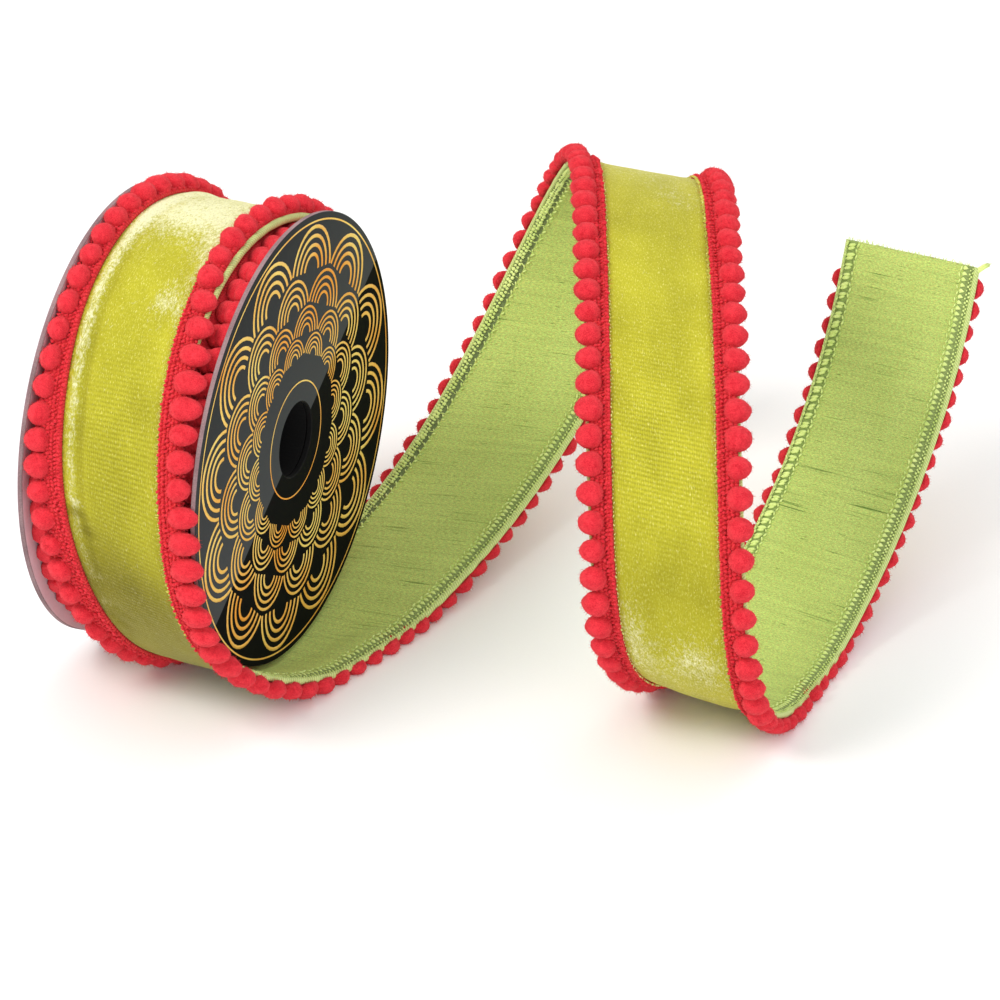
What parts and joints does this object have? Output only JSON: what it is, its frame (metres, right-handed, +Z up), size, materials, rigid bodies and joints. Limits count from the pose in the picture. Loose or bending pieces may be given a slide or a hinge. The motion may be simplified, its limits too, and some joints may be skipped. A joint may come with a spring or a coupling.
{
  "type": "roll of pompom trim",
  "caption": "Card spool of wide velvet ribbon with a pompom braid on both edges; the last turn is pulled loose, loops up and over, stands on its second bend and ends in a rising cut end",
  "frame": {"origin": "middle of the footprint's box, on the surface that the roll and its loose ribbon stand on", "axes": "+X along the spool's axis from the far flange towards the near one, but for its lean of 3.4 degrees; +Y towards the back, where the loose ribbon rises; +Z up"},
  "size_m": [0.2568, 0.3006, 0.1653],
  "materials": {
    "plain_card": "smooth uncoated card",
    "printed_card": "black gloss laminated print with gold",
    "velvet": "lime velvet with a short pile",
    "slub_cloth": "plain weave with darker slubs",
    "red_felt": "felted wool pompoms on knitted braid"
  },
  "bodies": {
    "root": {"flange_far": "plain_card", "flange_near": "printed_card", "core_tube": "plain_card", "wound_ribbon": "velvet", "velvet_face": "velvet", "slub_backing": "slub_cloth", "far_edge_braid": "red_felt", "near_edge_braid": "red_felt", "inner_far_braid": "red_felt", "inner_near_braid": "red_felt"}
  },
  "joints": []
}
